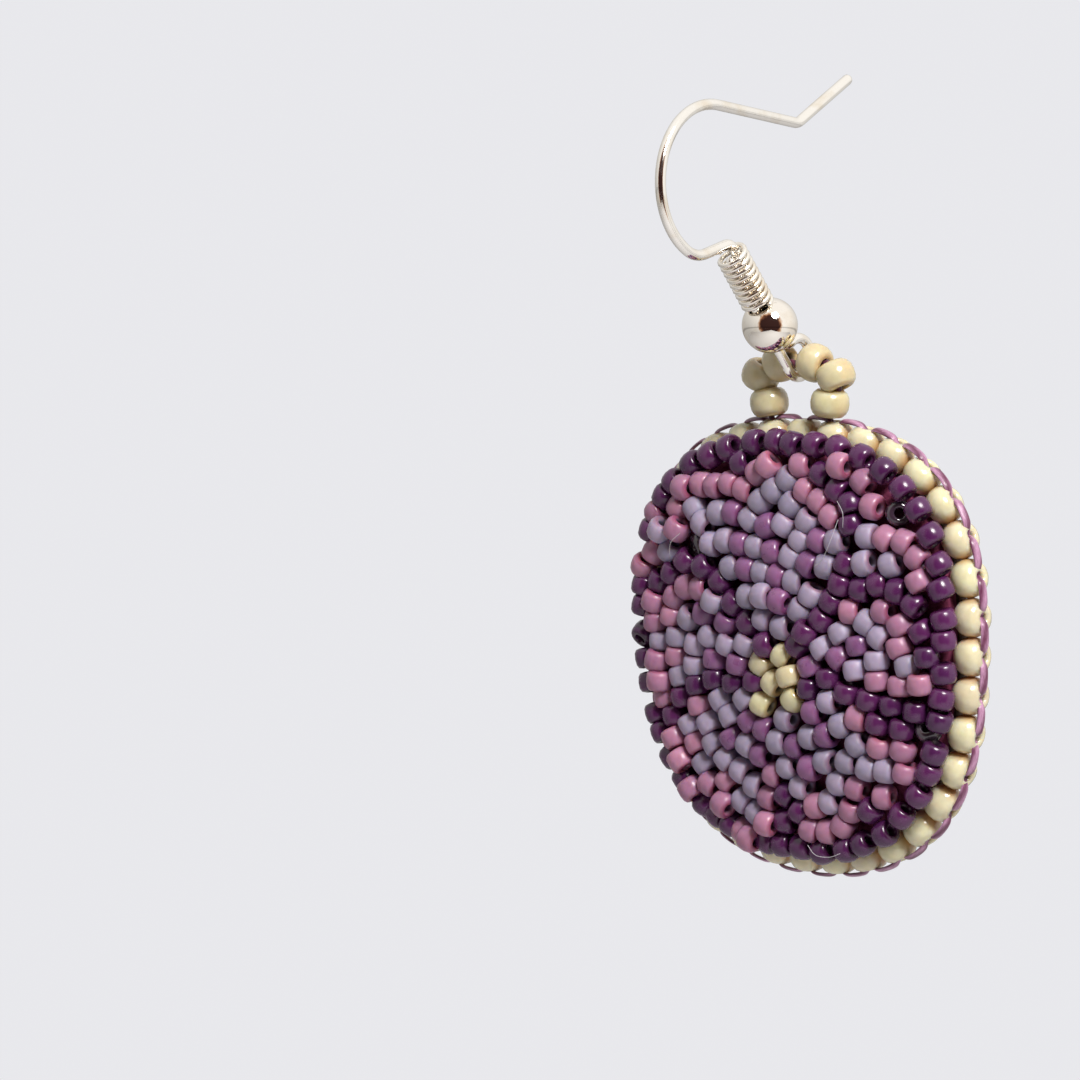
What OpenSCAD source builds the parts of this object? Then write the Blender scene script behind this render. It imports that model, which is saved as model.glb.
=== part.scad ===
// Beaded drop earring: a French hook with coil and ball, a hanging loop of six beads
// and a domed round panel of bead embroidery with a beaded edging.
// X runs across the panel, -Y is its front and +Z is up.
// The origin is where the ear carries it, under the crown of the hook.

/* [Ear hook] */
// Diameter of the hook's wire
wire_d = 0.6; // [0.5:0.05:0.7]
// Radius of the big arc, to the wire's centre
crown_r = 4.2; // [4:0.05:5]
// Length of the arm from the crown to the kink
arm_len = 6.45; // [5:0.05:8]
// Slope of the arm below level, in degrees
arm_drop = 7.4; // [4:0.1:12]
// Length of the straight tip past the kink
tip_len = 4.6; // [3:0.1:6]
// Slope of the tip above level, in degrees
tip_rise = 30; // [20:1:40]
// Lean of the shank from upright, in degrees
shank_lean = 40; // [36:1:44]
// Length of the shank from the hump to the eye's first bend
shank_len = 6.45; // [6.4:0.05:7]
// Radius of the eye under the ball, to the wire's centre
eye_r = 1.05; // [1:0.05:1.2]

/* [Coil and ball] */
// Diameter of the coil's wire
coil_wire_d = 0.28; // [0.22:0.01:0.3]
// Number of turns of the coil
coil_turns = 9.5; // [7:0.5:10]
// Length of the coil between its end turns
coil_len = 3.65; // [3:0.05:3.7]
// Diameter of the ball
ball_d = 3.06; // [2.9:0.02:3.2]
// Diameter of the hole through the ball
ball_hole_d = 1.4; // [1.3:0.05:1.6]

/* [Hanging loop] */
// Diameter of a bead of the hanging loop
loop_bead_d = 2.16; // [2:0.02:2.2]
// Length of a bead of the hanging loop along its hole
loop_bead_h = 1.3; // [1.2:0.02:1.32]
// Diameter of the hole in the cream beads
bead_hole_d = 0.85; // [0.8:0.05:0.9]
// Diameter of the thread of the hanging loop
thread_d = 0.34; // [0.3:0.02:0.4]

/* [Beaded panel] */
// Width of the panel over its edging
panel_w = 24; // [22:0.1:26]
// Height of the panel over its edging
panel_h = 25.3; // [24:0.1:27]
// How far the four corners stand out of an oval
corner_swell = 0.86; // [0:0.02:1]
// How far the outline wanders in three soft lobes
lobe_swell = 0.2; // [0:0.01:0.3]
// Lean of the panel out of upright, in degrees
panel_lean = 4; // [0:0.5:8]
// Diameter of a seed bead, which is the thickness of the bead layer
seed_d = 1.5; // [1.3:0.05:1.7]
// Rise of the middle of the face above its rim
dome_rise = 1.2; // [0:0.1:2]
// Thickness of the felt under the beads, at its rim
felt_t = 1; // [0.8:0.1:1.5]
// Thickness of the suede on the back
suede_t = 0.9; // [0.8:0.1:1.2]

/* [Edging] */
// Number of beads round the rim
edge_beads_n = 35; // [30:1:36]
// Diameter of an edging bead
edge_bead_d = 1.98; // [1.8:0.02:2]
// Length of an edging bead along its hole
edge_bead_h = 1.5; // [1.2:0.02:1.6]
// Diameter of the edging thread
edge_thread_d = 0.24; // [0.2:0.02:0.4]

/* [Hidden] */
$fn = 48;

wire_r = wire_d / 2;
// The two strands of the shank lie side by side with a hair between them
strand_off = wire_r + 0.015;
// The eye stands off the shank's line, towards the back
eye_off = 0.7;
// Tightest bends, where the shank opens into the eye
neck_r = 0.5;
neck_a = acos((strand_off + neck_r - eye_off) / (neck_r + eye_r));
neck_b = acos((strand_off + neck_r + eye_off) / (neck_r + eye_r));
return_len = 7.3;

// Pieces of the wire in its own plane, from the root of the arm over the crown to the front,
// and along the arm to the tip. A straight piece is [length, 0], and a bend is
// [radius, turn to the left in degrees]
front_pieces = [
    [crown_r, arm_drop + 160],
    [0.9, 36],
    [2.1, 0],
    [0.7, -(106 - shank_lean)],
    [shank_len, 0],
    [neck_r, neck_a],
    [eye_r, -(180 + neck_a + neck_b)],
    [neck_r, neck_b],
    [return_len, 0]
];
arm_pieces = [
    [arm_len, 0],
    [0.85, arm_drop + tip_rise],
    [tip_len, 0]
];
arm_root = [crown_r * sin(arm_drop), wire_r - crown_r * (1 - cos(arm_drop))];
// Each piece stops a hair short of the next one, and a round core inside joins them
seam = 0.01;
core_r = wire_r - 0.02;

// Unit direction of a heading in degrees, and the one a quarter turn to its left
function ahead(h) = [cos(h), sin(h)];
function aside(h) = [-sin(h), cos(h)];
// Centre of a bend that starts at p with heading h
function bend_centre(p, h, r, turn) = p + sign(turn) * r * aside(h);
// Place and heading after a piece that starts at s: [place, heading]
function after(piece, s) =
    let (end = s[1] + piece[1])
    piece[1] == 0 ? [s[0] + piece[0] * ahead(s[1]), end]
    : [bend_centre(s[0], s[1], piece[0], piece[1]) - sign(piece[1]) * piece[0] * aside(end), end];
// Place and heading before piece i
function walk(pieces, i, s) = i == 0 ? s : after(pieces[i - 1], walk(pieces, i - 1, s));

front_start = [arm_root, 180 - arm_drop];
arm_start = [arm_root + seam * ahead(-arm_drop), -arm_drop];
// Direction of the shank's middle line, which runs between the two strands
shank_top = walk(front_pieces, 4, front_start);
shank_down = ahead(shank_top[1]);
shank_left = aside(shank_top[1]);
neck_start = shank_top[0] + shank_len * shank_down;
neck_drop_a = (neck_r + eye_r) * sin(neck_a);
eye_centre = neck_start + neck_drop_a * shank_down + (eye_off - strand_off) * shank_left;
ball_gap = 0.1;
ball_to_eye = ball_d / 2 + eye_r + wire_r + ball_gap;
ball_centre = eye_centre - eye_off * shank_left
    - sqrt(ball_to_eye * ball_to_eye - eye_off * eye_off) * shank_down;

// The coil winds round both strands and stands on the ball
coil_gap = 0.03;
coil_r = strand_off + wire_r + coil_wire_d / 2 + coil_gap;
coil_seat = ball_d / 2 + coil_wire_d / 2 + coil_gap;
coil_start = sqrt(coil_seat * coil_seat - coil_r * coil_r);
coil_steps = 14;
coil_sides = 8;

// The thread turns on the inside of the eye, and the drop swings about it
hinge_gap = 0.06;
hinge = eye_centre - [0, eye_r - wire_r - thread_d / 2 - hinge_gap];

// Beads of one leg of the hanging loop: [across, up, lean of the hole from level in degrees],
// then how far outwards in the hole the thread lies at the bead's upper and its lower end
leg_beads = [
    [1.18, 0.24, 16, [-0.2, 0.2]],
    [2.71, -0.48, 63, [-0.19, -0.18]],
    [2.16, -1.98, 98, [0.18, 0]]
];
// The outline's top lies this far under the thread in the eye
panel_top = 2.72;
panel_y = 0.4;
panel_z = -panel_top - panel_h / 2 + lobe_swell;

// Rings of the panel's skins, as shares of the outline from the middle out
dome_rings = [0.25, 0.5, 0.7, 0.86, 0.96, 1];
skin_sides = 40;
// The edging beads' outer ends lie under the thread, and the felt ends behind their inner ends
edge_end = edge_thread_d + 0.08;
// The bead layer overhangs the inner part of the edging
field_inset = 0.95;
felt_inset = edge_end + edge_bead_h + 0.1;
skin_gap = 0.04;
// Shares of a bead's thickness: how far the bead layer's front edge is rounded back, and how
// far its outer wall starts behind the front
edge_round = 0.35;
edge_wall = 0.65;
measure_steps = 180;

// Distance from the panel's middle to its outline at angle a
function outline_r(a) =
    1 / sqrt(pow(2 * cos(a) / panel_w, 2) + pow(2 * sin(a) / panel_h, 2))
    + corner_swell * (1 + cos(4 * (a - 43))) / 2 + lobe_swell * cos(3 * (a - 30));
function outline(a, inset) = (outline_r(a) - inset) * [cos(a), sin(a)];
// Direction out of the outline at angle a
function outward(a) =
    let (d = outline(a + 1, 0) - outline(a - 1, 0)) [d[1], -d[0]] / norm(d);
// Table of [length along the outline from the top, angle], for even spacing
edge_mid_inset = edge_end + edge_bead_h / 2;
function step_len(i) =
    norm(outline(90 + (i + 1) * 360 / measure_steps, edge_mid_inset)
        - outline(90 + i * 360 / measure_steps, edge_mid_inset));
run_table = [
    for (i = 0, s = 0; i <= measure_steps; s = s + step_len(i), i = i + 1)
        [s, 90 + i * 360 / measure_steps]
];
run_total = run_table[measure_steps][0];
function edge_angle(k) = lookup((k % edge_beads_n) * run_total / edge_beads_n, run_table);

// How far the felt's domed front stands before the panel's middle plane, at a share k of the way out
function felt_front(k) = felt_t + dome_rise * (1 - k * k);

// Skin round the Y axis through rows of [share of the outline, y], front row first
module skin(rows, inset) {
    n = len(rows);
    rings = [
        for (row = rows, j = [0 : skin_sides - 1])
            let (p = row[0] * outline(j * 360 / skin_sides, inset)) [p[0], row[1], p[1]]
    ];
    front_pole = [0, rows[0][1], 0];
    back_pole = [0, rows[n - 1][1], 0];
    polyhedron(
        points = concat(rings, [front_pole, back_pole]),
        faces = concat(
            [for (j = [0 : skin_sides - 1]) [n * skin_sides, (j + 1) % skin_sides, j]],
            [
                for (i = [0 : n - 2], j = [0 : skin_sides - 1], t = [0, 1])
                    let (
                        a = i * skin_sides + j,
                        b = i * skin_sides + (j + 1) % skin_sides,
                        c = b + skin_sides,
                        d = a + skin_sides
                    )
                    t == 0 ? [a, b, c] : [a, c, d]
            ],
            [
                for (j = [0 : skin_sides - 1])
                    let (e = (n - 1) * skin_sides) [e + j, e + (j + 1) % skin_sides, n * skin_sides + 1]
            ]
        )
    );
}

// Tube of radius r along points, closed on itself or with flat ends.
// No stretch of it runs along the direction side
module tube(points, r, sides, closed, side) {
    n = len(points);
    function tangent(i) =
        let (
            before = closed ? points[(i + n - 1) % n] : points[max(i - 1, 0)],
            after = closed ? points[(i + 1) % n] : points[min(i + 1, n - 1)]
        )
        (after - before) / norm(after - before);
    function ring(i) =
        let (t = tangent(i), u = cross(t, side) / norm(cross(t, side)), v = cross(t, u))
        [for (j = [0 : sides - 1]) points[i] + r * (cos(j * 360 / sides) * u + sin(j * 360 / sides) * v)];
    rings = [for (i = [0 : n - 1], p = ring(i)) p];
    last = closed ? n - 1 : n - 2;
    walls = [
        for (i = [0 : last], j = [0 : sides - 1], t = [0, 1])
            let (
                a = i * sides + j,
                b = i * sides + (j + 1) % sides,
                c = ((i + 1) % n) * sides + (j + 1) % sides,
                d = ((i + 1) % n) * sides + j
            )
            t == 0 ? [a, c, b] : [a, d, c]
    ];
    caps = closed ? [] : [
        [for (j = [0 : sides - 1]) j],
        [for (j = [sides - 1 : -1 : 0]) (n - 1) * sides + j]
    ];
    polyhedron(points = rings, faces = concat(walls, caps));
}

// Round bead drilled along its own Z axis, with a narrow flat ring round the hole's lip
module bead(d, h, hole) {
    lip = 0.1;
    ring = 0.01;
    soft = min(0.42 * h, (d - hole) / 2 - lip - ring);
    half = concat(
        [[hole / 2, h / 2 - lip], [hole / 2 + lip, h / 2]],
        [for (a = [90 : -30 : 0]) [d / 2 - soft + soft * cos(a), h / 2 - soft + soft * sin(a)]]
    );
    rotate_extrude()
        polygon(concat(half, [for (i = [len(half) - 1 : -1 : 0]) [half[i][0], -half[i][1]]]));
}

// Lays out in the XY plane what is drawn up Z, from the place and along the heading in s
module along(s) {
    translate([s[0][0], s[0][1], 0])
        rotate([90, 0, s[1] + 90])
            children();
}

module core() {
    sphere(r = core_r);
}

// Pieces of wire, laid out in the XY plane
module wire(pieces, start) {
    last = len(pieces) - 1;
    for (i = [0 : last]) {
        size = pieces[i][0];
        turn = pieces[i][1];
        s = walk(pieces, i, start);
        cut = i < last ? seam : 0;
        if (turn == 0)
            along(s)
                cylinder(r = wire_r, h = size - cut);
        else {
            c = bend_centre(s[0], s[1], size, turn);
            cut_a = cut / size * 180 / PI;
            translate([c[0], c[1], 0])
                rotate([0, 0, turn > 0 ? s[1] - 90 : s[1] + 90 + turn + cut_a])
                    rotate_extrude(angle = abs(turn) - cut_a)
                        translate([size, 0])
                            circle(r = wire_r);
        }
        if (i < last)
            along(walk(pieces, i + 1, start))
                core();
    }
}

// Turns the wire's drawing plane upright, so that it faces sideways
module upright() {
    rotate([90, 0, 90])
        children();
}

// Puts the shank's middle line on Z, with the ball's centre at zero and the eye below
module on_shank() {
    upright()
        translate([ball_centre[0], ball_centre[1], 0])
            rotate([0, 0, shank_lean])
                rotate([-90, 0, 0])
                    children();
}

// Hangs what is drawn with the thread in the eye at zero
module hanging() {
    translate([0, hinge[0], hinge[1]])
        rotate([panel_lean, 0, 0])
            children();
}

// Puts what is drawn round zero at the middle of the panel
module on_panel() {
    hanging()
        translate([0, panel_y, panel_z])
            children();
}

module ear_wire() {
    color("silver")
        upright() {
            wire(front_pieces, front_start);
            wire(arm_pieces, arm_start);
            along(front_start)
                core();
        }
}

module coil() {
    n = coil_turns * coil_steps;
    points = [
        for (i = [0 : n])
            let (a = i * 360 / coil_steps)
            [coil_r * cos(a), coil_r * sin(a), coil_start + coil_len * i / n]
    ];
    color("silver")
        on_shank()
            tube(points, coil_wire_d / 2, coil_sides, false, [0, 0, 1]);
}

module ball() {
    color("silver")
        on_shank()
            difference() {
                sphere(d = ball_d);
                cylinder(d = ball_hole_d, h = ball_d + 1, center = true);
            }
}

// Bead i of the hanging loop: 0 to 2 go down the right leg, 3 to 5 down the left
module loop_bead(i) {
    row = leg_beads[i % 3];
    side = i < 3 ? 1 : -1;
    color("wheat")
        hanging()
            translate([side * row[0], 0, row[1]])
                rotate([0, side * (90 + row[2]), 0])
                    bead(loop_bead_d, loop_bead_h, bead_hole_d);
}

module loop_thread() {
    half = [
        for (row = leg_beads, end = [0, 1])
            [row[0], 0, row[1]]
            + (end - 0.5) * loop_bead_h * [cos(row[2]), 0, -sin(row[2])]
            + row[3][end] * [sin(row[2]), 0, cos(row[2])]
    ];
    n = len(half);
    color("purple")
        hanging()
            tube(concat(
                [for (i = [n - 1 : -1 : 0]) [-half[i][0], 0, half[i][2]]],
                [[0, 0, 0]],
                half
            ), thread_d / 2, 8, false, [0, 1, 0]);
}

module edge_beads() {
    color("wheat")
        on_panel()
            for (k = [0 : edge_beads_n - 1]) {
                a = edge_angle(k);
                p = outline(a, edge_mid_inset);
                out = outward(a);
                translate([p[0], 0, p[1]])
                    rotate([0, 90 - atan2(out[1], out[0]), 0])
                        bead(edge_bead_d, edge_bead_h, bead_hole_d);
            }
}

module edge_thread() {
    per_bead = 2;
    points = [
        for (k = [0 : edge_beads_n * per_bead - 1])
            let (p = outline(edge_angle(k / per_bead), edge_thread_d / 2)) [p[0], 0, p[1]]
    ];
    color("purple")
        on_panel()
            tube(points, edge_thread_d / 2, 6, true, [0, 1, 0]);
}

module bead_field() {
    color([0.45, 0.22, 0.47])
        on_panel()
            skin(concat(
                [for (k = dome_rings) [k * 0.985, edge_round * seed_d * pow(k, 8) - seed_d - felt_front(k)]],
                [[1, (edge_wall - 1) * seed_d - felt_t]],
                [for (i = [5 : -1 : 0]) let (k = dome_rings[i]) [k * 0.96, -felt_front(k) - skin_gap]]
            ), field_inset);
}

module foundation() {
    color("dimgray")
        on_panel()
            skin(concat(
                [for (k = dome_rings) [k, -felt_front(k)]],
                [[1, 0]]
            ), felt_inset);
}

module backing() {
    color("saddlebrown")
        on_panel()
            translate([0, suede_t, 0])
                skin([[1, -suede_t + skin_gap], [1, 0]], felt_inset);
}

ear_wire();
coil();
ball();
loop_bead(0);  // loop_bead_1
loop_bead(1);  // loop_bead_2
loop_bead(2);  // loop_bead_3
loop_bead(3);  // loop_bead_4
loop_bead(4);  // loop_bead_5
loop_bead(5);  // loop_bead_6
loop_thread();
edge_beads();
edge_thread();
bead_field();
foundation();
backing();
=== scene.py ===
"""Beaded drop earring: the looks of the ear hook, the bead embroidery and its edging."""

import itertools
import math
import random

import bpy
import numpy as np
from mathutils import Matrix, Vector


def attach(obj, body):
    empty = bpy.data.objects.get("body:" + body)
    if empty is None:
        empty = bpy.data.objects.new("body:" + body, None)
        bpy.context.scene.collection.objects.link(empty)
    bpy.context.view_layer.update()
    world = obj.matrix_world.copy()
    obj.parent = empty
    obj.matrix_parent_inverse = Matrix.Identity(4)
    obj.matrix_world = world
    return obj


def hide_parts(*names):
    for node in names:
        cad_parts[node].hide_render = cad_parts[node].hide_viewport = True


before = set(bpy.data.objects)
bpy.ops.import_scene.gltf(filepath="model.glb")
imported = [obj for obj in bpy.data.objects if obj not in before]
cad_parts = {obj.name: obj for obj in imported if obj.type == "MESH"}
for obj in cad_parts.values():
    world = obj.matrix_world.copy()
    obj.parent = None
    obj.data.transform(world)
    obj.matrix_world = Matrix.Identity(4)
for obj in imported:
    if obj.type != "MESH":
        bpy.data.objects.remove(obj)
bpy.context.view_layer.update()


# Ear wire. One length of silver-plated wire, 0.6 mm thick, bent on a jig into a French hook.
# It runs from the cut tip over the arm and the crown, down the front arc, and twice along the
# shank, with the eye in between.
MM = 0.001
WIRE_R = 0.3
CROWN_R = 4.2
ARM_DROP = 7.4
FOOT_R = 2.0
FOOT_TURN = 44.47
FOOT_RISE = 16
SHANK_LEAN = 40
NECK_R = 0.5
EYE_R = 1.05
EYE_OFF = 0.7
STRAND_OFF = WIRE_R + 0.015
NECK_A = math.degrees(math.acos((STRAND_OFF + NECK_R - EYE_OFF) / (NECK_R + EYE_R)))
NECK_B = math.degrees(math.acos((STRAND_OFF + NECK_R + EYE_OFF) / (NECK_R + EYE_R)))

# Pieces in the hook's plane: (length, 0) is straight, (radius, turn to the left in degrees) a bend
FRONT_PIECES = [
    (CROWN_R, ARM_DROP + 180 + FOOT_RISE - FOOT_TURN), (FOOT_R, FOOT_TURN), (1.7, 0),
    (0.7, SHANK_LEAN - 90 - FOOT_RISE), (6.45, 0),
    (NECK_R, NECK_A), (EYE_R, -(180 + NECK_A + NECK_B)), (NECK_R, NECK_B), (7.3, 0),
]
ARM_PIECES = [(6.45, 0), (0.85, ARM_DROP + 30), (4.6, 0)]
SHANK_PIECE = 4
EYE_PIECE = 6
# Steps that the wire is laid in: mm on a straight stretch, degrees round a bend
STRAIGHT_STEP, BEND_STEP = 0.5, 5


def ahead(heading):
    a = math.radians(heading)
    return Vector((math.cos(a), math.sin(a)))


def aside(heading):
    return ahead(heading + 90)


def lay_wire(pieces, place, heading):
    """Points along the pieces, and the place and heading at which each piece starts."""
    points, starts = [place], []
    for size, turn in pieces:
        starts.append((points[-1], heading))
        if turn == 0:
            steps = max(2, round(size / STRAIGHT_STEP))
            start = points[-1]
            points += [start + ahead(heading) * size * (i + 1) / steps for i in range(steps)]
            continue
        side = math.copysign(1, turn)
        centre = points[-1] + aside(heading) * side * size
        steps = max(4, round(abs(turn) / BEND_STEP))
        points += [
            centre - aside(heading + turn * (i + 1) / steps) * side * size for i in range(steps)
        ]
        heading += turn
    return points, starts


def upright(p):
    return Vector((0, p[0], p[1])) * MM


def new_piece(name, verts, faces, uvs=None):
    """Smooth mesh object in metres; uvs holds one pair for each corner of each face."""
    mesh = bpy.data.meshes.new(name)
    mesh.from_pydata([tuple(v) for v in verts], [], faces)
    if uvs:
        layer = mesh.uv_layers.new(name="along")
        layer.data.foreach_set("uv", [c for pair in uvs for c in pair])
    mesh.shade_smooth()
    piece = bpy.data.objects.new(name, mesh)
    bpy.context.scene.collection.objects.link(piece)
    return piece


# Angles in radians at which the rings of a rounded end stand
ROUNDING = (1.35, 0.9, 0.45)
# What the stretch that closes a thread adds to its length, in mm
LAST_STRETCH = 0.1


def tube(name, points, wide, thick=None, sides=16, closed=False, facing=None, swell=None):
    """Wire or thread along points. wide and thick are radii in metres, and wide lies across
    facing, a vector for each point; swell scales both from point to point. The UV runs in mm
    along it and from 0 to 1 round it."""
    thick = thick or wide
    n = len(points)
    tangents = []
    for i in range(n):
        a = points[(i - 1) % n] if closed or i > 0 else points[0]
        b = points[(i + 1) % n] if closed or i < n - 1 else points[-1]
        tangents.append((b - a).normalized())
    if facing is None:
        seed = Vector((1, 0, 0)) if abs(tangents[0].x) < 0.8 else Vector((0, 0, 1))
        facing = [seed]
        for t in tangents[1:]:
            facing.append((facing[-1] - t * facing[-1].dot(t)).normalized())
    rings = []
    for i in range(n):
        rings.append((points[i], tangents[i], facing[i], swell[i] if swell else 1.0))
    if not closed:
        cap = [(math.cos(a), math.sin(a)) for a in ROUNDING]
        head = [(points[0] - tangents[0] * thick * s, tangents[0], facing[0], c) for c, s in cap]
        tail = [(points[-1] + tangents[-1] * thick * s, tangents[-1], facing[-1], c) for c, s in cap]
        rings = head + rings + tail[::-1]
    verts = []
    runs = [0.0]
    for i, (p, t, f, scale) in enumerate(rings):
        up = (f - t * f.dot(t)).normalized()
        across = t.cross(up)
        for j in range(sides):
            a = 2 * math.pi * j / sides
            verts.append(p + (across * math.cos(a) * wide + up * math.sin(a) * thick) * scale)
        if i:
            runs.append(runs[-1] + (p - rings[i - 1][0]).length / MM)
    faces, uvs = [], []
    total = len(rings)
    for i in range(total if closed else total - 1):
        k = (i + 1) % total
        u0 = runs[i]
        u1 = runs[k] if k else u0 + LAST_STRETCH
        for j in range(sides):
            m = (j + 1) % sides
            faces.append((i * sides + j, k * sides + j, k * sides + m, i * sides + m))
            v0, v1 = j / sides, (j + 1) / sides
            uvs += [(u0, v0), (u1, v0), (u1, v1), (u0, v1)]
    if not closed:
        faces.append(tuple(range(sides)))
        faces.append(tuple((total - 1) * sides + j for j in reversed(range(sides))))
        uvs += [(runs[0], 0.5)] * sides + [(runs[-1], 0.5)] * sides
    return new_piece(name, verts, faces, uvs)


def material(name):
    """New material, its node tree and its Principled BSDF."""
    mat = bpy.data.materials.new(name)
    mat.use_nodes = True
    return mat, mat.node_tree, mat.node_tree.nodes["Principled BSDF"]


def feed(tree, made, inputs):
    """Sets a node's inputs to values, or links them to sockets."""
    for key, value in inputs.items():
        if isinstance(value, bpy.types.NodeSocket):
            tree.links.new(value, made.inputs[key])
        else:
            made.inputs[key].default_value = value


def node(tree, kind, inputs=None, **settings):
    made = tree.nodes.new(kind)
    for key, value in settings.items():
        setattr(made, key, value)
    feed(tree, made, inputs or {})
    return made


def maths(tree, operation, *values):
    return node(tree, "ShaderNodeMath", dict(enumerate(values)), operation=operation).outputs[0]


def in_mesh(tree):
    """Object coordinates."""
    return node(tree, "ShaderNodeTexCoord").outputs["Object"]


def parts(tree, vector):
    return node(tree, "ShaderNodeSeparateXYZ", {0: vector}).outputs


def noise(tree, place, scale, detail=2.0, rough=0.5, twist=0.0):
    return node(tree, "ShaderNodeTexNoise", {
        "Vector": place, "Scale": scale, "Detail": detail, "Roughness": rough, "Distortion": twist,
    }).outputs["Fac"]


def remap(tree, value, low, high, to_low=0.0, to_high=1.0):
    """Runs from to_low to to_high while value runs from low to high."""
    return node(tree, "ShaderNodeMapRange", {
        "Value": value, "From Min": low, "From Max": high, "To Min": to_low, "To Max": to_high,
    }).outputs["Result"]


def blend(tree, share, first, second):
    """Colour between two, each a socket or an RGBA value."""
    mixed = node(tree, "ShaderNodeMix", {"Factor": share, 6: first, 7: second}, data_type="RGBA")
    return mixed.outputs[2]


def relief(tree, height, strength, distance):
    return node(tree, "ShaderNodeBump",
                {"Height": height, "Strength": strength, "Distance": distance}).outputs["Normal"]


def new_group(name, inputs, outputs, tree_kind="ShaderNodeTree"):
    """Empty node group, the sockets of its input node and its output node. inputs holds (name,
    kind, default) and outputs (name, kind)."""
    group = bpy.data.node_groups.new(name, tree_kind)
    for label, kind, value in inputs:
        socket = group.interface.new_socket(label, in_out="INPUT", socket_type="NodeSocket" + kind)
        if value is not None:
            socket.default_value = value
    for label, kind in outputs:
        group.interface.new_socket(label, in_out="OUTPUT", socket_type="NodeSocket" + kind)
    return group, group.nodes.new("NodeGroupInput").outputs, group.nodes.new("NodeGroupOutput")


# Wear of plated wire: dulled spots, a fine grain and tarnish, as a roughness, a height and a share
handling, source, drain = new_group(
    "handling",
    [("Roughness", "Float", 0.1), ("Spots", "Float", 1500.0)],
    [("Roughness", "Float"), ("Height", "Float"), ("Tarnish", "Float")],
)
place = in_mesh(handling)
spots = noise(handling, place, source["Spots"], 4.0, 0.6)
dull = remap(handling, spots, 0.4, 0.7, 0.8, 2.2)
stain = noise(handling, place, 700.0, 3.0)
feed(handling, drain, {
    "Roughness": maths(handling, "MULTIPLY", source["Roughness"], dull),
    "Height": noise(handling, place, 9000.0),
    "Tarnish": remap(handling, stain, 0.5, 0.75),
})


def silver(name, base, aged, rough, bump):
    mat, tree, shader = material(name)
    wear = node(tree, "ShaderNodeGroup", {"Roughness": rough}, node_tree=handling).outputs
    feed(tree, shader, {
        "Metallic": 1.0,
        "Base Color": blend(tree, wear["Tarnish"], (*base, 1), (*aged, 1)),
        "Roughness": wear["Roughness"],
        "Normal": relief(tree, wear["Height"], bump, 0.00001),
    })
    return mat


arm_root = Vector((CROWN_R * math.sin(math.radians(ARM_DROP)),
                   WIRE_R - CROWN_R * (1 - math.cos(math.radians(ARM_DROP)))))
front_points, front_starts = lay_wire(FRONT_PIECES, arm_root, 180 - ARM_DROP)
arm_points, _ = lay_wire(ARM_PIECES, arm_root + ahead(-ARM_DROP) * 0.01, -ARM_DROP)
route = [upright(p) for p in arm_points[:0:-1] + front_points]
ear_wire = tube("ear_wire_bent", route, WIRE_R * MM, sides=20)
ear_wire.data.materials.append(
    silver("silver_wire", (0.97, 0.93, 0.87), (0.86, 0.76, 0.62), 0.1, 0.2))
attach(ear_wire, "hook")
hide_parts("ear_wire")


# Coil. Fine silver wire, wound close round the two strands of the shank and pushed down on
# the ball, with its cut ends pressed flat against the shank.
BALL_D = 3.06
BALL_GAP = 0.1
COIL_WIRE_R = 0.14
COIL_TURNS = 9.5
COIL_LEN = 3.65
COIL_GAP = 0.03
TURN_POINTS = 20

shank_start, shank_heading = front_starts[SHANK_PIECE]
shank_down = ahead(shank_heading)
shank_left = aside(shank_heading)
eye_start, eye_heading = front_starts[EYE_PIECE]
eye_centre = eye_start - aside(eye_heading) * EYE_R
ball_to_eye = BALL_D / 2 + EYE_R + WIRE_R + BALL_GAP
ball_centre = (eye_centre - shank_left * EYE_OFF
               - shank_down * math.sqrt(ball_to_eye ** 2 - EYE_OFF ** 2))
shank_up3 = Vector((0, -shank_down.x, -shank_down.y))
shank_side3 = Vector((0, shank_left.x, shank_left.y))


def on_shank(across, side, up):
    """Point in metres: mm along x, to the shank's left and up the shank from the ball's centre."""
    offset = Vector((across, 0, 0)) + shank_side3 * side + shank_up3 * up
    return upright(ball_centre) + offset * MM


coil_r = STRAND_OFF + WIRE_R + COIL_WIRE_R + COIL_GAP
coil_seat = BALL_D / 2 + COIL_WIRE_R + COIL_GAP
coil_start = math.sqrt(coil_seat ** 2 - coil_r ** 2)
turns = []
steps = round(COIL_TURNS * TURN_POINTS)
for i in range(steps + 1):
    a = 2 * math.pi * i / TURN_POINTS
    rise = coil_start + COIL_LEN * i / steps
    turns.append(on_shank(coil_r * math.cos(a), coil_r * math.sin(a), rise))
coil = tube("coil_wound", turns, COIL_WIRE_R * MM, sides=10)
coil.data.materials.append(silver("silver_coil", (0.97, 0.92, 0.84), (0.85, 0.74, 0.6), 0.14, 0.15))
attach(coil, "hook")
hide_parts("coil")


# Ball. A hollow silver bead with a bright polish, strung on the shank and held between the
# coil and the eye.
BALL_HOLE_R = 0.7
BALL_ROWS = 30
BALL_SIDES = 56
# How far the lip of the hole turns in and down
BALL_LIP = (0.05, 0.06)

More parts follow.
